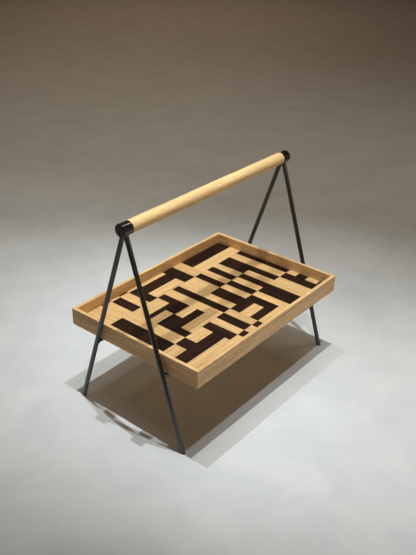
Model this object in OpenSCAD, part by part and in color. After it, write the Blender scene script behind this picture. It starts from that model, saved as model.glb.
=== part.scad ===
// Low tray table with a carrying handle. A stand of welded round bar carries an oak
// handle on two end caps, and a wooden tray with an inlaid panel rests on its stretchers.
// Millimetres. X runs along the handle, Y across it and Z up. The origin is on the
// floor, under the middle of the handle.

/* [Tray] */
// Outside length of the tray
tray_length = 500; // [400:1:620]
// Outside width of the tray
tray_width = 350; // [260:1:430]
// Height of the rails
rail_height = 40; // [30:0.5:60]
// Thickness of the rails
rail_thickness = 8; // [7:0.1:12]
// Chamfer along the long edges of the rails
rail_chamfer = 0.6; // [0.2:0.1:1.2]

/* [Panel] */
// Thickness of the plywood core
core_thickness = 9; // [7:0.5:12]
// Thickness of the inlay blocks
block_thickness = 3; // [1:0.5:5]
// Height of the core's underside above the rails' lower edge
panel_recess = 3; // [1:0.5:6]
// Thickness of the tongue round the core
tongue_thickness = 5; // [3:0.5:6]
// Reach of the tongue into each rail
tongue_reach = 4; // [2:0.5:4.5]
// Play between the tongue and its groove, on every side
tongue_play = 0.1; // [0.05:0.05:0.3]
// Width of the glue line between two blocks
glue_line = 0.2; // [0.1:0.1:0.6]

/* [Corner splines] */
// Thickness of the loose spline in each mitre
spline_thickness = 2; // [1:0.5:2.5]
// Width of the spline across the mitre
spline_width = 6; // [4:0.5:6]
// Wood left above the spline, and between it and the groove
spline_cover = 4; // [3:0.5:6]
// Play round the spline in its slots
spline_play = 0.1; // [0.05:0.05:0.2]

/* [Stand] */
// Height of the handle's axis above the floor
handle_height = 456.5; // [380:0.5:560]
// Distance between front and back feet, centre to centre
foot_spread = 293; // [240:1:360]
// Height of the tray's lower edge above the floor
tray_lift = 171; // [120:1:220]
// Diameter of the round bar
bar_diameter = 10; // [7:0.1:13]
// Gap between the tray's ends and the legs
end_gap = 3; // [2:0.5:10]
// Play between the tray and the stretchers it rests on
seat_play = 0.1; // [0.1:0.1:0.5]

/* [Handle] */
// Diameter of the dowel and the caps
handle_diameter = 27; // [20:0.1:34]
// Chamfer round both shoulders of the dowel, next to the caps
dowel_ease = 0.6; // [0.3:0.1:1.2]
// Length of each cap
cap_length = 23.5; // [18:0.5:32]
// Chamfer round the outer end of each cap
cap_chamfer = 0.8; // [0.4:0.1:1.5]
// Wall of each cap round the dowel's tenon
cap_wall = 4; // [3:0.5:5]
// Thickness of the closed end of each cap
cap_floor = 7; // [5:0.5:9]
// Play round the tenon in its cap
tenon_play = 0.1; // [0.05:0.05:0.2]

/* [Screws and feet] */
// Diameter of the grub screw that locks each tenon
grub_diameter = 3; // [2:0.5:4]
// Depth of the grub screw's bite into the tenon
grub_bite = 1.2; // [0.8:0.1:2.5]
// Depth of the grub screw below the cap's surface
grub_recess = 0.2; // [0.1:0.1:0.5]
// Width across the flats of the grub screw's socket
grub_socket = 1.5; // [1:0.1:1.6]
// Thickness of the nylon glide under each leg
glide_thickness = 2; // [1:0.5:4]
// Diameter of the glide's spigot
spigot_diameter = 3; // [2:0.5:4]
// Depth of the spigot's hole in the leg
spigot_depth = 8; // [6:0.5:12]
// Play round the spigot and the grub screw
pin_play = 0.05; // [0.02:0.01:0.1]

/* [Hidden] */
$fn = 64;
cut = 1;  // overshoot of a cutting shape past the surface that it cuts

// Tray levels and inside sizes
tray_bottom = tray_lift;
tray_top = tray_bottom + rail_height;
inner_length = tray_length - 2 * rail_thickness;
inner_width = tray_width - 2 * rail_thickness;
core_bottom = tray_bottom + panel_recess;
core_top = core_bottom + core_thickness;
tongue_bottom = core_bottom + (core_thickness - tongue_thickness) / 2;
spline_bottom = tongue_bottom + tongue_thickness + spline_cover;
spline_height = tray_top - spline_cover - spline_bottom;

// Stand: the legs lean in one plane at each end and meet on the handle's axis
leg_x = tray_length / 2 + end_gap + bar_diameter / 2;
foot_y = foot_spread / 2;
lean = atan(foot_y / handle_height);
leg_length = norm([foot_y, handle_height]);
stretcher_z = tray_bottom - seat_play - bar_diameter / 2;
stretcher_y = foot_y * (1 - stretcher_z / handle_height);
stretcher_end = leg_x - bar_diameter / 4;  // inside each leg, so that the copes shape the ends

// Handle: the dowel's shoulders meet the caps' open ends
shoulder_x = leg_x - cap_length / 2;
cap_bore_depth = cap_length - cap_floor;
tenon_diameter = handle_diameter - 2 * cap_wall;
tenon_length = cap_bore_depth - tenon_play;
grub_x = (shoulder_x + leg_x - bar_diameter / 2) / 2;
grub_bottom = handle_height - handle_diameter / 2 + grub_recess;
grub_length = cap_wall - grub_recess + grub_bite;

// The panel is laid out in modules, and its cut list gives each block as
// [left, front, length, width]. The blocks lie in four bands from front to back.
panel_modules = [108, 75];
module_x = inner_length / panel_modules.x;
module_y = inner_width / panel_modules.y;

front_wenge = [[39, 0, 5, 8], [50, 0, 5, 8], [78, 0, 10, 8], [98, 0, 6, 8], [104, 0, 4, 6]];
front_oak = [[0, 0, 21, 8], [21, 0, 18, 8], [44, 0, 6, 8], [55, 0, 23, 8], [88, 0, 10, 8],
    [104, 6, 4, 2]];

second_wenge = [[0, 11, 33, 7], [14, 18, 7, 7], [33, 8, 6, 17], [44, 8, 6, 17], [55, 8, 12, 5],
    [55, 19, 12, 6], [67, 8, 6, 17], [78, 8, 10, 17], [98, 8, 6, 17], [104, 13, 4, 6]];
second_oak = [[0, 8, 33, 3], [0, 18, 14, 7], [21, 18, 12, 7], [39, 8, 5, 17], [50, 8, 5, 17],
    [55, 13, 12, 6], [73, 8, 5, 17], [88, 8, 10, 17], [104, 8, 4, 5], [104, 19, 4, 6]];

third_wenge = [[0, 25, 14, 34], [21, 25, 5, 7], [21, 32, 23, 5], [21, 37, 12, 6],
    [33, 42, 11, 9], [21, 48, 12, 3], [39, 51, 5, 8], [50, 25, 5, 34], [60, 25, 8, 17],
    [68, 42, 5, 17], [73, 25, 5, 17], [78, 42, 5, 17], [83, 25, 5, 17], [88, 42, 10, 17],
    [93, 25, 5, 17], [104, 25, 4, 34]];
third_oak = [[14, 25, 7, 34], [26, 25, 18, 7], [33, 37, 11, 5], [21, 43, 12, 5],
    [21, 51, 18, 8], [44, 25, 6, 34], [55, 25, 5, 34], [60, 42, 8, 17], [68, 25, 5, 17],
    [73, 42, 5, 17], [78, 25, 5, 17], [83, 42, 5, 17], [88, 25, 5, 17], [98, 25, 6, 34]];

back_wenge = [[15, 74, 6, 1], [21, 59, 6, 14.5], [27, 74, 6, 1], [33, 59, 6, 14.5],
    [39, 65.5, 21, 7], [60, 59, 8, 16], [75, 66.5, 33, 8.5]];
back_oak = [[0, 59, 15, 16], [15, 59, 6, 15], [21, 73.5, 6, 1.5], [27, 59, 6, 15],
    [33, 73.5, 6, 1.5], [39, 59, 21, 6.5], [39, 72.5, 21, 2.5], [68, 59, 7, 16],
    [75, 59, 33, 7.5]];

// Finishes
oak_rail = "#c39a66";
oak_block = "#e3bd83";
wenge_block = "#2e211b";
birch_ply = "#cfae7e";
handle_oak = "#dfb67a";
black_steel = "#23231f";
black_nylon = "#161616";

// ---- Tray ----

// Loose spline standing across the mitre of the corner at [sx, sy]
module corner_spline(sx, sy, play) {
    width = spline_width + 2 * play;
    thickness = spline_thickness + 2 * play;
    height = spline_height + 2 * play;
    translate([
        sx * (tray_length - rail_thickness) / 2,
        sy * (tray_width - rail_thickness) / 2,
        spline_bottom + spline_height / 2
    ])
        rotate([0, 0, -45 * sx * sy])
            cube([width, thickness, height], center = true);
}

module all_corner_splines(play) {
    for (sx = [-1, 1], sy = [-1, 1])
        corner_spline(sx, sy, play);
}

// Cross-section of a rail, upright, with its long edges chamfered
module rail_section() {
    c = rail_chamfer;
    t = rail_thickness;
    h = rail_height;
    polygon([[c, 0], [t - c, 0], [t, c], [t, h - c], [t - c, h], [c, h], [0, h - c], [0, c]]);
}

// Mitred rail along X with its outer face at -distance in Y
module rail_blank(length, distance) {
    intersection() {
        translate([-length / 2, -distance, tray_bottom])
            rotate([90, 0, 90])
                linear_extrude(length)
                    rail_section();
        translate([0, -distance, tray_bottom - cut])
            linear_extrude(rail_height + 2 * cut)
                polygon([
                    [-length / 2, 0],
                    [length / 2, 0],
                    [length / 2 - rail_thickness, rail_thickness],
                    [-length / 2 + rail_thickness, rail_thickness]
                ]);
    }
}

// Tongue of the core, or with play the groove that it leaves in the rails
module tongue(play) {
    translate([0, 0, tongue_bottom + tongue_thickness / 2])
        cube([
            inner_length + 2 * (tongue_reach + play),
            inner_width + 2 * (tongue_reach + play),
            tongue_thickness + 2 * play
        ], center = true);
}

module long_rail(side) {
    color(oak_rail)
        difference() {
            rotate([0, 0, side > 0 ? 180 : 0])
                rail_blank(tray_length, tray_width / 2);
            tongue(tongue_play);
            all_corner_splines(spline_play);
        }
}

module end_rail(side) {
    color(oak_rail)
        difference() {
            rotate([0, 0, side > 0 ? 90 : -90])
                rail_blank(tray_width, tray_length / 2);
            tongue(tongue_play);
            all_corner_splines(spline_play);
        }
}

module front_rail() { long_rail(-1); }
module back_rail() { long_rail(1); }
module left_rail() { end_rail(-1); }
module right_rail() { end_rail(1); }

module corner_splines() {
    color(birch_ply)
        all_corner_splines(0);
}

module panel_core() {
    color(birch_ply)
        union() {
            translate([-inner_length / 2, -inner_width / 2, core_bottom])
                cube([inner_length, inner_width, core_thickness]);
            tongue(0);
        }
}

// ---- Inlay ----

// Blocks of one wood in one band, each half a glue line inside its modules
module blocks(cut_list, wood) {
    color(wood)
        for (block = cut_list)
            translate([
                block[0] * module_x - inner_length / 2 + glue_line / 2,
                block[1] * module_y - inner_width / 2 + glue_line / 2,
                core_top
            ])
                cube([
                    block[2] * module_x - glue_line,
                    block[3] * module_y - glue_line,
                    block_thickness
                ]);
}

module front_wenge_blocks() { blocks(front_wenge, wenge_block); }
module front_oak_blocks() { blocks(front_oak, oak_block); }
module second_wenge_blocks() { blocks(second_wenge, wenge_block); }
module second_oak_blocks() { blocks(second_oak, oak_block); }
module third_wenge_blocks() { blocks(third_wenge, wenge_block); }
module third_oak_blocks() { blocks(third_oak, oak_block); }
module back_wenge_blocks() { blocks(back_wenge, wenge_block); }
module back_oak_blocks() { blocks(back_oak, oak_block); }

// ---- Handle ----

// Hole for the grub screw, from below the cap to just past the screw's inner end
module grub_hole(side) {
    translate([side * grub_x, 0, grub_bottom - grub_recess - cut])
        cylinder(d = grub_diameter + 2 * pin_play, h = cut + grub_length + 2 * grub_recess);
}

// Half section of the dowel, turned about the handle's axis
module dowel_section() {
    r = handle_diameter / 2;
    tenon = tenon_diameter / 2;
    end = shoulder_x + tenon_length;
    polygon([
        [0, -end],
        [tenon, -end],
        [tenon, -shoulder_x],
        [r - dowel_ease, -shoulder_x],
        [r, -shoulder_x + dowel_ease],
        [r, shoulder_x - dowel_ease],
        [r - dowel_ease, shoulder_x],
        [tenon, shoulder_x],
        [tenon, end],
        [0, end]
    ]);
}

module handle_dowel() {
    color(handle_oak)
        difference() {
            translate([0, 0, handle_height])
                rotate([0, 90, 0])
                    rotate_extrude()
                        dowel_section();
            grub_hole(-1);
            grub_hole(1);
        }
}

// Half section of the right-hand cap, turned about the handle's axis
module cap_section() {
    r = handle_diameter / 2;
    bore = tenon_diameter / 2 + tenon_play;
    c = cap_chamfer;
    polygon([
        [bore, 0],
        [r, 0],
        [r, cap_length - c],
        [r - c, cap_length],
        [0, cap_length],
        [0, cap_bore_depth],
        [bore, cap_bore_depth]
    ]);
}

module cap(side) {
    color(black_steel)
        difference() {
            translate([side * shoulder_x, 0, handle_height])
                rotate([0, side * 90, 0])
                    rotate_extrude()
                        cap_section();
            grub_hole(side);
        }
}

module left_cap() { cap(-1); }
module right_cap() { cap(1); }

module grub_screw(side) {
    color(black_steel)
        translate([side * grub_x, 0, grub_bottom])
            difference() {
                cylinder(d = grub_diameter, h = grub_length);
                translate([0, 0, -cut])
                    cylinder(d = grub_socket / cos(30), h = grub_length / 2 + cut, $fn = 6);
            }
}

module left_grub_screw() { grub_screw(-1); }
module right_grub_screw() { grub_screw(1); }

// ---- Legs and stretchers ----

// Cylinder on a leg's axis, from one distance to another along it, measured from the floor
module on_leg_axis(sx, sy, from, to, diameter) {
    translate([sx * leg_x, sy * foot_y, 0])
        rotate([sy * lean, 0, 0])
            translate([0, 0, from])
                cylinder(d = diameter, h = to - from);
}

// Slab between two heights on one side of the tray's centre line
module half_slab(sx, sy, low, high) {
    translate([
        sx * leg_x - bar_diameter,
        sy > 0 ? 0 : -foot_spread,
        low
    ])
        cube([2 * bar_diameter, foot_spread, high - low]);
}

// Solid round the handle's axis that copes the tops of the two legs at one end
module cap_cope(sx) {
    translate([sx * leg_x - bar_diameter, 0, handle_height])
        rotate([0, 90, 0])
            cylinder(d = handle_diameter, h = 2 * bar_diameter);
}

// Leg from its glide up to the cap, coped round the cap and mitred against its twin
module leg(sx, sy) {
    color(black_steel)
        difference() {
            intersection() {
                on_leg_axis(sx, sy, -bar_diameter, leg_length, bar_diameter);
                half_slab(sx, sy, glide_thickness, handle_height);
            }
            cap_cope(sx);
            on_leg_axis(sx, sy, -cut, glide_thickness / cos(lean) + spigot_depth,
                spigot_diameter + 2 * pin_play);
        }
}

module front_left_leg() { leg(-1, -1); }
module back_left_leg() { leg(-1, 1); }
module front_right_leg() { leg(1, -1); }
module back_right_leg() { leg(1, 1); }

// Stretcher between the two legs of one side, coped round both
module stretcher(sy) {
    color(black_steel)
        difference() {
            translate([-stretcher_end, sy * stretcher_y, stretcher_z])
                rotate([0, 90, 0])
                    cylinder(d = bar_diameter, h = 2 * stretcher_end);
            on_leg_axis(-1, sy, 0, leg_length, bar_diameter);
            on_leg_axis(1, sy, 0, leg_length, bar_diameter);
        }
}

module front_stretcher() { stretcher(-1); }
module back_stretcher() { stretcher(1); }

// Glide cut level with the floor, with a spigot pressed into the leg
module glide(sx, sy) {
    color(black_nylon)
        union() {
            intersection() {
                on_leg_axis(sx, sy, -bar_diameter, 2 * bar_diameter, bar_diameter);
                half_slab(sx, sy, 0, glide_thickness);
            }
            on_leg_axis(sx, sy, glide_thickness / 2 / cos(lean),
                glide_thickness / cos(lean) + spigot_depth - pin_play, spigot_diameter);
        }
}

module front_left_glide() { glide(-1, -1); }
module back_left_glide() { glide(-1, 1); }
module front_right_glide() { glide(1, -1); }
module back_right_glide() { glide(1, 1); }

front_rail();
back_rail();
left_rail();
right_rail();
corner_splines();
panel_core();
front_wenge_blocks();
front_oak_blocks();
second_wenge_blocks();
second_oak_blocks();
third_wenge_blocks();
third_oak_blocks();
back_wenge_blocks();
back_oak_blocks();
handle_dowel();
left_cap();
right_cap();
left_grub_screw();
right_grub_screw();
front_left_leg();
back_left_leg();
front_right_leg();
back_right_leg();
front_stretcher();
back_stretcher();
front_left_glide();
back_left_glide();
front_right_glide();
back_right_glide();
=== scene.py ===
import bmesh
import bpy
import math
import random
from mathutils import Matrix, Vector


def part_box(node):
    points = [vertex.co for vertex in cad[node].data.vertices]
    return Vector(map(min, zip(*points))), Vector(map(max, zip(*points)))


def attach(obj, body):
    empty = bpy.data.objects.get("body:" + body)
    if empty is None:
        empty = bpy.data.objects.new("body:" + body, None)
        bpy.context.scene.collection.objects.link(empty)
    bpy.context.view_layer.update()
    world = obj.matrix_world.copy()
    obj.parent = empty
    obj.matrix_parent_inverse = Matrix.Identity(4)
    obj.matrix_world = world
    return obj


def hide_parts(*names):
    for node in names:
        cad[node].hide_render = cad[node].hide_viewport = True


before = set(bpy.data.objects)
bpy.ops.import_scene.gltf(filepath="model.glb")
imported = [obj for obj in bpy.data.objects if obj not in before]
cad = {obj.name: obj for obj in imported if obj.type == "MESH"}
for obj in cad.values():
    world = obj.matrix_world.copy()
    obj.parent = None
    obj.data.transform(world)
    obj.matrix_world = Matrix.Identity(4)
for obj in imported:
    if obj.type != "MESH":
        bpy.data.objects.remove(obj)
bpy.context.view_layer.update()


# ---- Rails ----
# Four boards of solid oak, 40 by 8 mm, mitred at the corners and joined by hidden splines.
# They are planed along the grain, their edges are eased by hand and they have a satin lacquer.

def linear(hex_colour):
    """An sRGB hex colour as the linear RGBA that a shader takes."""
    parts = [int(hex_colour[i:i + 2], 16) / 255 for i in (1, 3, 5)]
    return [c / 12.92 if c <= 0.04045 else ((c + 0.055) / 1.055) ** 2.4 for c in parts] + [1.0]


def add_node(tree, kind, inputs={}, **settings):
    """Adds a node with its settings. An input is given by name or number, as a value or a link.

    On a Mix node, inputs 4 and 5 are its two vectors and 6 and 7 its two colours, and outputs 1
    and 2 are the mixed vector and colour.
    """
    made = tree.nodes.new(kind)
    for name, value in settings.items():
        setattr(made, name, value)
    for name, value in inputs.items():
        if isinstance(value, bpy.types.NodeSocket):
            tree.links.new(value, made.inputs[name])
        else:
            made.inputs[name].default_value = value
    return made


def new_material(name):
    """An empty material, with its tree and its output's surface socket."""
    made = bpy.data.materials.new(name)
    made.use_nodes = True
    made.node_tree.nodes.clear()
    out = add_node(made.node_tree, "ShaderNodeOutputMaterial")
    return made, made.node_tree, out.inputs["Surface"]


def wood(name, early, late, pore, grain, roughness, sheen=0.5, turn=0.0, own_board=False):
    """Straight-grained timber. x of the pattern runs along the grain and z through the board.

    early, late and pore are its colours. grain gives, in millimetres, the pitch of the broadest
    growth lines, with finer ones between them, and the width of the pores. sheen is how much the
    finish mirrors: 0.5 for a full lacquer, less where open pores break it up. turn is how far
    the pattern is turned about z, in radians. With own_board the pattern follows the board that
    each piece was cut from. A pattern's size is given as its repeats per metre along the grain,
    across it and through the board.
    """
    material, tree, surface = new_material(name)
    if own_board:
        place = add_node(tree, "ShaderNodeAttribute", attribute_name="board").outputs["Vector"]
    else:
        here = add_node(tree, "ShaderNodeTexCoord").outputs["Object"]
        place = add_node(tree, "ShaderNodeMapping",
                         {"Vector": here, "Rotation": (0, 0, turn)}).outputs["Vector"]
    pitch, pore_width = grain

    # The tree grew a little unevenly, so the lines wander by about a millimetre to each side
    bends = (7, 18, 18)
    reach = 0.006       # metres, of which the noise seldom uses the outer thirds
    sway = add_node(tree, "ShaderNodeTexNoise", {
        "Vector": add_node(tree, "ShaderNodeVectorMath", {0: place, 1: bends},
                           operation="MULTIPLY").outputs["Vector"],
        "Scale": 1.0, "Detail": 1.0})
    swayed = add_node(tree, "ShaderNodeVectorMath", {
        0: sway.outputs["Color"], 1: (0.0, reach, reach), 2: place}, operation="MULTIPLY_ADD")

    # Growth lines: pale early wood turns to darker late wood
    growth = (4, 1000 / pitch, 1000 / pitch)
    all_early, all_late = 0.38, 0.62
    lines = add_node(tree, "ShaderNodeTexNoise", {
        "Vector": add_node(tree, "ShaderNodeVectorMath", {0: swayed.outputs["Vector"], 1: growth},
                           operation="MULTIPLY").outputs["Vector"],
        "Scale": 1.0, "Detail": 4.0, "Roughness": 0.75})
    late_share = add_node(tree, "ShaderNodeMapRange", {
        "Value": lines.outputs["Fac"], "From Min": all_early, "From Max": all_late})

    # Open pores, cut lengthwise into short dark strokes of about a centimetre
    cuts = (85, 1000 / pore_width, 1000 / pore_width)
    no_pore, open_pore = 0.56, 0.70
    strokes = add_node(tree, "ShaderNodeTexNoise", {
        "Vector": add_node(tree, "ShaderNodeVectorMath", {0: swayed.outputs["Vector"], 1: cuts},
                           operation="MULTIPLY").outputs["Vector"],
        "Scale": 1.0, "Detail": 1.0})
    pores = add_node(tree, "ShaderNodeMapRange", {
        "Value": strokes.outputs["Fac"], "From Min": no_pore, "From Max": open_pore})

    # Each board is a little paler in one place and darker in another
    patches = (5, 45, 45)
    darkest, palest = 0.90, 1.08
    drift = add_node(tree, "ShaderNodeTexNoise", {
        "Vector": add_node(tree, "ShaderNodeVectorMath", {0: place, 1: patches},
                           operation="MULTIPLY").outputs["Vector"],
        "Scale": 1.0, "Detail": 2.0})
    shade = add_node(tree, "ShaderNodeMapRange", {
        "Value": drift.outputs["Fac"], "From Min": 0.3, "From Max": 0.7,
        "To Min": darkest, "To Max": palest})

    pore_darkness = 0.55        # how far a pore goes from the wood's colour to its own
    body = add_node(tree, "ShaderNodeMix", {
        "Factor": late_share.outputs["Result"], 6: linear(early), 7: linear(late)},
        data_type="RGBA")
    pored = add_node(tree, "ShaderNodeMix", {
        "Factor": add_node(tree, "ShaderNodeMath", {
            0: pores.outputs["Result"], 1: pore_darkness}, operation="MULTIPLY").outputs["Value"],
        6: body.outputs[2], 7: linear(pore)}, data_type="RGBA")
    if own_board:
        tone = add_node(tree, "ShaderNodeAttribute", attribute_name="tone").outputs["Fac"]
        shade = add_node(tree, "ShaderNodeMath", {0: shade.outputs["Result"], 1: tone},
                         operation="MULTIPLY")
    colour = add_node(tree, "ShaderNodeVectorMath", {
        0: pored.outputs[2], "Scale": shade.outputs[0]}, operation="SCALE")

    # Lacquer lies thin in the pores, so they are duller, and a little lower than the wood
    pore_roughness = roughness + 0.2
    relief_depth = 0.00006
    gloss = add_node(tree, "ShaderNodeMapRange", {
        "Value": pores.outputs["Result"], "To Min": roughness, "To Max": pore_roughness})
    relief = add_node(tree, "ShaderNodeMath", {
        0: pores.outputs["Result"], 1: -1.0, 2: late_share.outputs["Result"]},
        operation="MULTIPLY_ADD")
    bump = add_node(tree, "ShaderNodeBump", {
        "Height": relief.outputs["Value"], "Strength": 0.35, "Distance": relief_depth})
    shader = add_node(tree, "ShaderNodeBsdfPrincipled", {
        "Base Color": colour.outputs["Vector"], "Roughness": gloss.outputs["Result"],
        "Normal": bump.outputs["Normal"], "IOR": 1.5, "Specular IOR Level": sheen})
    tree.links.new(shader.outputs["BSDF"], surface)
    return material


def finish_node(name, material):
    """Gives a CAD node its finish."""
    for slot in cad[name].material_slots:
        slot.material = material


# Oak, planed and satin-lacquered: honey-coloured, with fine straight lines along the board. The
# real lines are 1.5 to 3 mm apart and the pores 0.25 mm wide. They are drawn 4.5 and 0.9 mm, so
# that they show.
for where, rails, turn in (("long rails", ("front_rail", "back_rail"), 0.0),
                           ("end rails", ("left_rail", "right_rail"), math.pi / 2)):
    oak_rail = wood("oak, planed and satin-lacquered, " + where,
                    early="#efc88f", late="#d0a36b", pore="#8a6740", grain=(4.5, 0.9),
                    roughness=0.40, sheen=0.4, turn=turn)
    for rail in rails:
        finish_node(rail, oak_rail)


# ---- Panel core and corner splines ----
# A birch plywood board, 9 mm thick, that the inlay is glued on, and four loose splines of the
# same plywood. Only its sanded underside shows.

# Birch plywood, sanded: calm, pale and faintly lined. The real lines are 4 to 8 mm apart and are
# drawn 6 mm. The real pores are 0.1 mm wide and are drawn 0.9 mm, so that they show.
birch_ply = wood("birch plywood, sanded", early="#d3b07c", late="#c39d68", pore="#a8824f",
                 grain=(6.0, 0.9), roughness=0.55)
for name in ("panel_core", "corner_splines"):
    finish_node(name, birch_ply)


# ---- Inlay ----
# Blocks of two woods, sawn 3 mm thick, laid edge to edge on the core and sanded flush. Each is
# cut with the grain along its long side, and the sanding breaks its edges a little.

HAIRLINE = 0.00006       # joint left between two blocks
BROKEN_EDGE = 0.00012    # chamfer that the sanding leaves
GLUE_LINE = 0.0002       # gap between the CAD blocks


def loose_boxes(name):
    """The lowest and highest corners of each loose block of a CAD node, in a steady order."""
    copy = bmesh.new()
    copy.from_mesh(cad[name].data)
    bmesh.ops.remove_doubles(copy, verts=copy.verts, dist=1e-6)
    left, boxes = set(copy.verts), []
    while left:
        group, edge = set(), [left.pop()]
        while edge:
            vert = edge.pop()
            group.add(vert)
            for link in vert.link_edges:
                other = link.other_vert(vert)
                if other in left:
                    left.discard(other)
                    edge.append(other)
        low = [min(v.co[i] for v in group) for i in range(3)]
        high = [max(v.co[i] for v in group) for i in range(3)]
        boxes.append((tuple(round(c, 6) for c in low), tuple(round(c, 6) for c in high)))
    copy.free()
    return sorted(boxes)


def input_socket(tree, name, kind, value=None):
    """Adds a named input to a tree's interface."""
    socket = tree.interface.new_socket(name, in_out="INPUT", socket_type=kind)
    if value is not None:
        socket.default_value = value


def block_tree():
    """Sets a block on each point, sized by the point's half size, with a broken top edge."""
    tree = bpy.data.node_groups.new("inlay_blocks", "GeometryNodeTree")
    input_socket(tree, "Points", "NodeSocketGeometry")
    input_socket(tree, "Broken edge", "NodeSocketFloat", BROKEN_EDGE)
    input_socket(tree, "Wood", "NodeSocketMaterial")
    tree.interface.new_socket("Blocks", in_out="OUTPUT", socket_type="NodeSocketGeometry")
    given = add_node(tree, "NodeGroupInput").outputs

    # The template spans -1 to 1, with a middle ring that becomes the chamfer's lower edge
    template = add_node(tree, "GeometryNodeMeshCube", {
        "Size": (2, 2, 2), "Vertices X": 2, "Vertices Y": 2, "Vertices Z": 3})
    marked = add_node(tree, "GeometryNodeStoreNamedAttribute", {
        "Geometry": template.outputs["Mesh"], "Name": "corner",
        "Value": add_node(tree, "GeometryNodeInputPosition").outputs["Position"]},
        data_type="FLOAT_VECTOR", domain="POINT")
    half = add_node(tree, "GeometryNodeInputNamedAttribute", {"Name": "half"},
                    data_type="FLOAT_VECTOR").outputs["Attribute"]
    placed = add_node(tree, "GeometryNodeInstanceOnPoints", {
        "Points": given["Points"], "Instance": marked.outputs["Geometry"], "Scale": half})
    solid = add_node(tree, "GeometryNodeRealizeInstances", {
        "Geometry": placed.outputs["Instances"]})

    corner = add_node(tree, "ShaderNodeSeparateXYZ", {"Vector": add_node(
        tree, "GeometryNodeInputNamedAttribute", {"Name": "corner"},
        data_type="FLOAT_VECTOR").outputs["Attribute"]}).outputs
    size = add_node(tree, "ShaderNodeSeparateXYZ", {"Vector": half}).outputs
    inward = add_node(tree, "ShaderNodeMath", {0: given["Broken edge"], 1: -1.0},
                      operation="MULTIPLY").outputs["Value"]
    top = add_node(tree, "ShaderNodeMath", {0: corner["Z"], 1: 0.5},
                   operation="GREATER_THAN").outputs["Value"]
    middle = add_node(tree, "ShaderNodeMath", {0: corner["Z"], 1: 0.0, 2: 0.5},
                      operation="COMPARE").outputs["Value"]
    step_in = add_node(tree, "ShaderNodeMath", {0: top, 1: inward},
                       operation="MULTIPLY").outputs["Value"]
    rise = add_node(tree, "ShaderNodeMath", {
        0: middle, 1: add_node(tree, "ShaderNodeMath", {0: size["Z"], 1: inward},
                               operation="ADD").outputs["Value"]},
        operation="MULTIPLY").outputs["Value"]
    shift = add_node(tree, "ShaderNodeCombineXYZ", {
        "X": add_node(tree, "ShaderNodeMath", {0: corner["X"], 1: step_in},
                      operation="MULTIPLY").outputs["Value"],
        "Y": add_node(tree, "ShaderNodeMath", {0: corner["Y"], 1: step_in},
                      operation="MULTIPLY").outputs["Value"],
        "Z": rise})
    shaped = add_node(tree, "GeometryNodeSetPosition", {
        "Geometry": solid.outputs["Geometry"], "Offset": shift.outputs["Vector"]})

    # Where each block lay in its board: the grain follows its long side, which is x there
    along = add_node(tree, "GeometryNodeInputPosition").outputs["Position"]
    at = add_node(tree, "ShaderNodeSeparateXYZ", {"Vector": along}).outputs
    across = add_node(tree, "ShaderNodeCombineXYZ", {"X": at["Y"], "Y": at["X"], "Z": at["Z"]})
    laid = add_node(tree, "ShaderNodeMix", {
        "Factor": add_node(tree, "GeometryNodeInputNamedAttribute", {"Name": "turned"},
                           data_type="FLOAT").outputs["Attribute"],
        4: along, 5: across.outputs["Vector"]}, data_type="VECTOR")
    cut_from = add_node(tree, "ShaderNodeVectorMath", {
        0: laid.outputs[1],
        1: add_node(tree, "GeometryNodeInputNamedAttribute", {"Name": "cut"},
                    data_type="FLOAT_VECTOR").outputs["Attribute"]}, operation="ADD")
    mapped = add_node(tree, "GeometryNodeStoreNamedAttribute", {
        "Geometry": shaped.outputs["Geometry"], "Name": "board",
        "Value": cut_from.outputs["Vector"]}, data_type="FLOAT_VECTOR", domain="POINT")
    made = add_node(tree, "GeometryNodeSetMaterial", {
        "Geometry": mapped.outputs["Geometry"], "Material": given["Wood"]})
    add_node(tree, "NodeGroupOutput", {"Blocks": made.outputs["Geometry"]})
    return tree


def grown(name, start, tree, material_input, material):
    """Runs a tree on a start mesh and returns the result as a plain mesh object."""
    seed = bpy.data.objects.new(name + "_start", start)
    bpy.context.collection.objects.link(seed)
    modifier = seed.modifiers.new("grow", "NODES")
    modifier.node_group = tree
    sockets = {s.name: s.identifier for s in tree.interface.items_tree if s.in_out == "INPUT"}
    modifier[sockets[material_input]] = material
    evaluated = seed.evaluated_get(bpy.context.evaluated_depsgraph_get())
    mesh = bpy.data.meshes.new_from_object(evaluated)
    mesh.name = name
    seed.modifiers.remove(modifier)
    bpy.data.objects.remove(seed)
    made = bpy.data.objects.new(name, mesh)
    bpy.context.collection.objects.link(made)
    return made


def block_points(name, boxes, spread, seed):
    """A point in the middle of each block, with its size and the board that it was cut from.

    spread is how far a block's tone may lie from the wood's own, as a share of it.
    """
    timber = 3      # metres of board that the blocks were cut from
    chance = random.Random(seed)
    points = bpy.data.meshes.new(name)
    grow = (GLUE_LINE - HAIRLINE) / 2
    middles, halves, turned, tones, cuts = [], [], [], [], []
    for low, high in boxes:
        size = [high[i] - low[i] for i in range(3)]
        middles.append([(low[i] + high[i]) / 2 for i in range(3)])
        halves += [size[0] / 2 + grow, size[1] / 2 + grow, size[2] / 2]
        turned.append(1.0 if size[1] > size[0] else 0.0)
        tones.append(1 + chance.uniform(-spread, spread))
        cuts += [chance.uniform(0, timber) for _ in range(3)]
    points.from_pydata(middles, [], [])
    for label, kind, values in (("half", "FLOAT_VECTOR", halves), ("turned", "FLOAT", turned),
                                ("tone", "FLOAT", tones), ("cut", "FLOAT_VECTOR", cuts)):
        field = "vector" if kind == "FLOAT_VECTOR" else "value"
        points.attributes.new(label, kind, "POINT").data.foreach_set(field, values)
    return points


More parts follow.
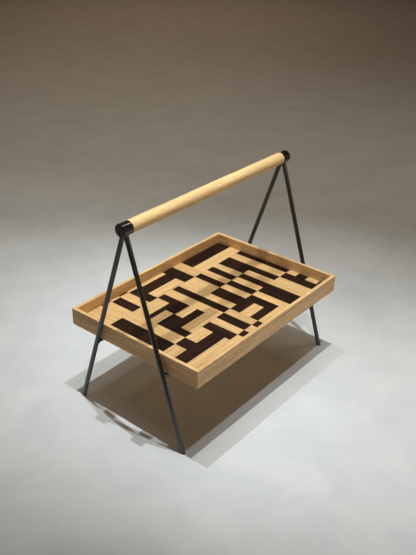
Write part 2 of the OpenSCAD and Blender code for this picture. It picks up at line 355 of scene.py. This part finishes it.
# Oak, sawn and satin-lacquered: pale straw with clear straight lines. The real lines are 2 mm
# apart and the pores 0.25 mm wide. They are drawn 4 and 0.8 mm, so that they show.
oak_block = wood("oak, sawn and satin-lacquered", early="#ddb880", late="#c29760",
                 pore="#8a6437", grain=(4.0, 0.8), roughness=0.45, sheen=0.3, own_board=True)
# Wenge, sawn and satin-lacquered: nearly black, with fine coffee-brown lines, and its many open
# pores take most of the sheen. The real lines are 0.5 to 1 mm apart and the pores 0.2 mm wide.
# They are drawn 2.4 and 0.7 mm, so that they show.
wenge_block = wood("wenge, sawn and satin-lacquered", early="#341f13", late="#140b06",
                   pore="#090502", grain=(2.4, 0.7), roughness=0.55, sheen=0.08, own_board=True)

# Each node of blocks has a seed of its own, from its band's number and its wood
blocks = block_tree()
for number, band in enumerate(("front", "second", "third", "back")):
    for kind, material, spread in (("oak", oak_block, 0.07), ("wenge", wenge_block, 0.12)):
        node = f"{band}_{kind}_blocks"
        points = block_points(node + "_points", loose_boxes(node), spread,
                              seed=10 * number + len(kind))
        inlay = grown(f"{band}_{kind}_inlay", points, blocks, "Wood", material)
        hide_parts(node)
        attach(inlay, "tray")


# ---- Handle ----
# A turned oak dowel, 27 mm in diameter, with a tenon in a steel cap at each end. It was turned
# and sanded along the grain and has the same satin lacquer, warmer from handling.

# Oak, turned and satin-lacquered: warm straw, with long lines that run out on the curve. The real
# lines are 1.5 to 3 mm apart and the pores 0.25 mm wide. They are drawn 4.5 and 0.9 mm, so that
# they show.
handle_oak = wood("oak, turned and satin-lacquered", early="#f3d59a", late="#e6bd82",
                  pore="#af8750", grain=(4.5, 0.9), roughness=0.36, sheen=0.4)
finish_node("handle_dowel", handle_oak)


# ---- Caps, legs and stretchers ----
# Two turned steel cups, four legs and two stretchers of 10 mm round bar, coped and welded into
# one frame, then powder-coated in a satin black that is slightly warm where the light grazes it.

def coated(name, dark, pale, roughness, peel, depth, sheen=0.5):
    """A powder coat or a moulded skin, clouded between two colours.

    peel is its grain's size in millimetres and depth the grain's depth in metres. sheen is how
    much it mirrors: 0.5 for a plain plastic, more for a hard coat.
    """
    cloud_repeats = 30      # per metre
    glossier, duller = roughness - 0.04, roughness + 0.06
    material, tree, surface = new_material(name)
    here = add_node(tree, "ShaderNodeTexCoord").outputs["Object"]
    skin = add_node(tree, "ShaderNodeTexNoise", {
        "Vector": here, "Scale": 1000 / peel, "Detail": 2.0, "Roughness": 0.5})
    cloud = add_node(tree, "ShaderNodeTexNoise", {
        "Vector": here, "Scale": cloud_repeats, "Detail": 3.0})
    share = add_node(tree, "ShaderNodeMapRange", {
        "Value": cloud.outputs["Fac"], "From Min": 0.3, "From Max": 0.7})
    colour = add_node(tree, "ShaderNodeMix", {
        "Factor": share.outputs["Result"], 6: linear(dark), 7: linear(pale)}, data_type="RGBA")
    gloss = add_node(tree, "ShaderNodeMapRange", {
        "Value": share.outputs["Result"], "To Min": glossier, "To Max": duller})
    bump = add_node(tree, "ShaderNodeBump", {
        "Height": skin.outputs["Fac"], "Strength": 0.5, "Distance": depth})
    shader = add_node(tree, "ShaderNodeBsdfPrincipled", {
        "Base Color": colour.outputs[2], "Roughness": gloss.outputs["Result"],
        "Normal": bump.outputs["Normal"], "IOR": 1.5, "Specular IOR Level": sheen})
    tree.links.new(shader.outputs["BSDF"], surface)
    return material


# Steel, powder-coated: an even satin black with crisp highlights and a faint orange-peel. The
# real peel is 0.3 mm fine, and is drawn 0.8 mm.
black_steel = coated("steel, powder-coated satin black", "#12110e", "#191814", roughness=0.20,
                     peel=0.8, depth=0.00002, sheen=0.9)
sides = [(sx, sy) for sx in (-1, 1) for sy in (-1, 1)]
word = {("x", -1): "left", ("x", 1): "right", ("y", -1): "front", ("y", 1): "back"}
for name in ("left_cap", "right_cap", "left_grub_screw", "right_grub_screw",
             "front_stretcher", "back_stretcher"):
    finish_node(name, black_steel)
for sx, sy in sides:
    finish_node(f"{word['y', sy]}_{word['x', sx]}_leg", black_steel)


# ---- Weld beads ----
# Each leg is fillet-welded round its coped end under the cap, and each stretcher round its
# ends against the legs. The beads are small, rippled by the torch and coated with the frame.

low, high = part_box("handle_dowel")
HANDLE_Z = (low.z + high.z) / 2
CAP_RADIUS = (high.z - low.z) / 2
low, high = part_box("front_stretcher")
BAR_RADIUS = (high.z - low.z) / 2
RUNG_Z = (low.z + high.z) / 2
RUNG_Y = -(low.y + high.y) / 2
LEG_X = (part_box("front_right_leg")[0].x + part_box("front_right_leg")[1].x) / 2
LEAN = math.atan(RUNG_Y / (HANDLE_Z - RUNG_Z))


def cap_seam(sx, sy, steps=48):
    """Where a leg's skin meets its cap, down to the plane that it shares with its twin."""
    down = Vector((0, sy * math.sin(LEAN), -math.cos(LEAN)))    # along the leg
    side = Vector((0, sy * math.cos(LEAN), math.sin(LEAN)))     # across it, away from its twin
    seam = []
    for i in range(steps):
        a = 2 * math.pi * i / steps
        skin = Vector((BAR_RADIUS * math.cos(a), 0, 0)) + side * (BAR_RADIUS * math.sin(a))
        # Slide down the leg until the point is one cap radius from the handle's axis
        b = skin.y * down.y + skin.z * down.z
        c = skin.y ** 2 + skin.z ** 2 - CAP_RADIUS ** 2
        point = skin + down * (-b + math.sqrt(b * b - c))
        seam.append((sx * LEG_X + point.x, sy * max(0, sy * point.y), HANDLE_Z + point.z))
    return seam


def rung_seam(sx, sy, steps=48):
    """Where a stretcher's skin meets a leg's skin."""
    seam = []
    for i in range(steps):
        a = 2 * math.pi * i / steps
        y, z = BAR_RADIUS * math.cos(a), BAR_RADIUS * math.sin(a)
        off = y * math.cos(LEAN) + z * math.sin(LEAN)   # distance from the leg's own plane
        inside = math.sqrt(max(0, BAR_RADIUS ** 2 - off ** 2))
        seam.append((sx * (LEG_X - inside), sy * (RUNG_Y + y), RUNG_Z + z))
    return seam


def bead_tree():
    """Lays a rippled bead along each loop of edges.

    The ripples make it thicker and thinner by a share of its radius.
    """
    tree = bpy.data.node_groups.new("weld_bead", "GeometryNodeTree")
    input_socket(tree, "Seams", "NodeSocketGeometry")
    input_socket(tree, "Bead radius", "NodeSocketFloat", 0.0013)
    input_socket(tree, "Ripple pitch", "NodeSocketFloat", 0.0011)
    input_socket(tree, "Ripple share", "NodeSocketFloat", 0.09)
    input_socket(tree, "Ring spacing", "NodeSocketFloat", 0.0003)
    input_socket(tree, "Ring corners", "NodeSocketInt", 10)
    input_socket(tree, "Coat", "NodeSocketMaterial")
    tree.interface.new_socket("Beads", in_out="OUTPUT", socket_type="NodeSocketGeometry")
    given = add_node(tree, "NodeGroupInput").outputs
    path = add_node(tree, "GeometryNodeMeshToCurve", {"Mesh": given["Seams"]})
    even = add_node(tree, "GeometryNodeResampleCurve", {
        "Curve": path.outputs["Curve"], "Length": given["Ring spacing"]}, mode="LENGTH")
    run = add_node(tree, "GeometryNodeSplineParameter").outputs["Length"]
    turn = add_node(tree, "ShaderNodeMath", {
        0: add_node(tree, "ShaderNodeMath", {0: run, 1: given["Ripple pitch"]},
                    operation="DIVIDE").outputs["Value"],
        1: 2 * math.pi}, operation="MULTIPLY").outputs["Value"]
    wave = add_node(tree, "ShaderNodeMath", {
        0: add_node(tree, "ShaderNodeMath", {0: turn}, operation="SINE").outputs["Value"],
        1: given["Ripple share"], 2: 1.0}, operation="MULTIPLY_ADD").outputs["Value"]
    ring = add_node(tree, "GeometryNodeCurvePrimitiveCircle", {
        "Resolution": given["Ring corners"], "Radius": given["Bead radius"]})
    swept = add_node(tree, "GeometryNodeCurveToMesh", {
        "Curve": even.outputs["Curve"], "Profile Curve": ring.outputs["Curve"],
        "Scale": wave})
    smooth = add_node(tree, "GeometryNodeSetShadeSmooth", {"Geometry": swept.outputs["Mesh"]})
    solid = add_node(tree, "GeometryNodeRealizeInstances", {
        "Geometry": smooth.outputs["Geometry"]})
    made = add_node(tree, "GeometryNodeSetMaterial", {
        "Geometry": solid.outputs["Geometry"], "Material": given["Coat"]})
    add_node(tree, "NodeGroupOutput", {"Beads": made.outputs["Geometry"]})
    return tree


beads = bead_tree()
for name, seam in (("cap_weld_beads", cap_seam), ("stretcher_weld_beads", rung_seam)):
    corners, edges = [], []
    for sx, sy in sides:
        loop = seam(sx, sy)
        first = len(corners)
        corners += loop
        edges += [(first + i, first + (i + 1) % len(loop)) for i in range(len(loop))]
    start = bpy.data.meshes.new(name + "_seams")
    start.from_pydata(corners, edges, [])
    bead = grown(name, start, beads, "Coat", black_steel)
    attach(bead, "stand")


# ---- Glides ----
# A nylon foot under each leg, cut level with the floor, with its spigot pressed into the bar.
# It is injection-moulded with a dull, finely textured skin.

# Nylon, injection-moulded: duller and a touch greyer than the coat above it, with a fine texture
# that is really 0.1 mm and is drawn 0.5 mm.
black_nylon = coated("nylon, injection-moulded", "#151515", "#1c1c1c", roughness=0.55,
                     peel=0.5, depth=0.00002)
for sx, sy in sides:
    finish_node(f"{word['y', sy]}_{word['x', sx]}_glide", black_nylon)


# ---- Floor, lights and camera ----
# A plain pale floor under a row of ceiling lamps and soft fills, in dim warm air that pales
# towards the horizon. None of it is part of the object.

# Concrete, trowelled: a matt pale grey with faint clouds where the trowel pressed. On such a floor
# they are 10 to 30 cm across, with finer ones in them, and they are drawn 14 cm.
CLOUD_REPEATS = 7.0      # per metre
stone, tree, surface = new_material("concrete, trowelled")
clouds = add_node(tree, "ShaderNodeTexNoise", {
    "Vector": add_node(tree, "ShaderNodeTexCoord").outputs["Object"], "Scale": CLOUD_REPEATS,
    "Detail": 7.0, "Roughness": 0.62, "Distortion": 0.6})
shade = add_node(tree, "ShaderNodeMix", {
    "Factor": add_node(tree, "ShaderNodeMapRange", {
        "Value": clouds.outputs["Fac"], "From Min": 0.35, "From Max": 0.65}).outputs["Result"],
    6: linear("#c6c8c6"), 7: linear("#d0d1ce")}, data_type="RGBA")
shader = add_node(tree, "ShaderNodeBsdfPrincipled", {
    "Base Color": shade.outputs[2], "Roughness": 0.7})
tree.links.new(shader.outputs["BSDF"], surface)
FLOOR_REACH = 14     # metres to each side
sheet = bpy.data.meshes.new("floor")
sheet.from_pydata([(x * FLOOR_REACH, y * FLOOR_REACH, 0) for x, y in (
    (-1, -1), (1, -1), (1, 1), (-1, 1))], [], [(0, 1, 2, 3)])
sheet.materials.append(stone)
floor = bpy.data.objects.new("floor", sheet)
bpy.context.collection.objects.link(floor)

# The air is warm and pale at the horizon and darkens up to 21 degrees above it
HAZE_TOP = 0.36      # sine of that angle
world = bpy.data.worlds.new("sky")
world.use_nodes = True
world.node_tree.nodes.clear()
heading = add_node(world.node_tree, "ShaderNodeSeparateXYZ", {
    "Vector": add_node(world.node_tree, "ShaderNodeTexCoord").outputs["Generated"]})
haze = add_node(world.node_tree, "ShaderNodeMapRange", {
    "Value": heading.outputs["Z"], "From Max": HAZE_TOP, "To Min": 1.0, "To Max": 0.0},
    interpolation_type="SMOOTHSTEP")
air = add_node(world.node_tree, "ShaderNodeMix", {
    "Factor": haze.outputs["Result"], 6: linear("#38291e"), 7: linear("#94887c")},
    data_type="RGBA")
sky = add_node(world.node_tree, "ShaderNodeBackground", {"Color": air.outputs[2]})
add_node(world.node_tree, "ShaderNodeOutputWorld", {"Surface": sky.outputs["Background"]})
bpy.context.scene.world = world

# A row of cool ceiling lamps hangs 2.6 m above the floor, under a wide soft one, with warm fills
# further off. Each beam is given as its lamp's place, the point it is aimed at, its spread in
# degrees, the lamp's radius in metres, its power and its colour.
for name, place, aim, spread, radius, power, tint in (
        ("lamp_1", (-0.13, -0.57, 2.6), (0.07, -0.70, 0), 36, 0.008, 113, "#eff7fd"),
        ("lamp_2", (-0.13, -0.25, 2.6), (0.17, -0.11, 0), 36, 0.008, 141, "#eff7fd"),
        ("lamp_3", (-0.13, 0.25, 2.6), (-0.18, 0.32, 0), 36, 0.008, 140, "#eff7fd"),
        ("lamp_4", (-0.13, 0.78, 2.6), (-0.03, 0.78, 0), 40, 0.008, 30, "#eff7fd"),
        ("soft_top", (0.0, 0.0, 3.4), (0.0, 0.0, 0.0), 90, 1.0, 84, "#f8f9f1"),
        ("fill_front", (0.20, -2.20, 0.9), (0.1, 0.0, 0.35), 50, 0.2, 20, "#ffdfc2"),
        ("fill_right", (1.48, -0.15, 2.6), (1.20, 0.0, 0.0), 110, 0.15, 22, "#fff4dc"),
        ("fill_back", (0.90, 1.70, 2.6), (0.90, 1.70, 0.0), 110, 0.2, 34, "#fff0d6"),
        ("far_back_right", (3.20, 3.00, 2.6), (3.20, 3.00, 0.0), 140, 0.2, 46, "#ffdcbc"),
        ("far_back_left", (-3.00, 3.20, 2.6), (-3.00, 3.20, 0.0), 140, 0.2, 60, "#ffdcbc"),
        ("far_front_left", (-3.00, -2.80, 2.6), (-3.00, -2.80, 0.0), 140, 0.2, 60, "#ffdcbc"),
        ("far_front_right", (3.20, -3.00, 2.6), (3.20, -3.00, 0.0), 140, 0.2, 60, "#ffdcbc")):
    lamp = bpy.data.lights.new(name, "SPOT")
    lamp.spot_size = math.radians(spread)
    lamp.spot_blend = 1.0
    lamp.shadow_soft_size = radius
    lamp.energy = power
    lamp.color = linear(tint)[:3]
    held = bpy.data.objects.new(name, lamp)
    held.location = place
    beam = Vector(aim) - Vector(place)
    held.rotation_euler = beam.to_track_quat("-Z", "Y").to_euler()
    bpy.context.collection.objects.link(held)

# Tones are shown as the light gives them, with no film curve
bpy.context.scene.view_settings.view_transform = "Standard"

# The camera stands 1.06 m above the floor and looks down on the front left corner. The azimuth
# counts from the front, and the roll tips the view a little.
STANDS_AT = Vector((-1.1456, -0.9083, 1.0648))
SENSOR, FOCAL_LENGTH = 36, 49.15        # millimetres
AZIMUTH, ELEVATION, ROLL = math.radians(-51.42), math.radians(29.26), math.radians(1.447)
back = Vector((math.sin(AZIMUTH) * math.cos(ELEVATION),
               -math.cos(AZIMUTH) * math.cos(ELEVATION), math.sin(ELEVATION)))
level = Vector((math.cos(AZIMUTH), math.sin(AZIMUTH), 0))
upright = back.cross(level)
right = level * math.cos(ROLL) + upright * math.sin(ROLL)
up = upright * math.cos(ROLL) - level * math.sin(ROLL)
lens = bpy.data.cameras.new("camera")
lens.sensor_width = SENSOR
lens.lens = FOCAL_LENGTH
camera = bpy.data.objects.new("camera", lens)
turned = Matrix((right, up, back)).transposed().to_4x4()
camera.matrix_world = Matrix.Translation(STANDS_AT) @ turned
bpy.context.collection.objects.link(camera)
bpy.context.scene.camera = camera
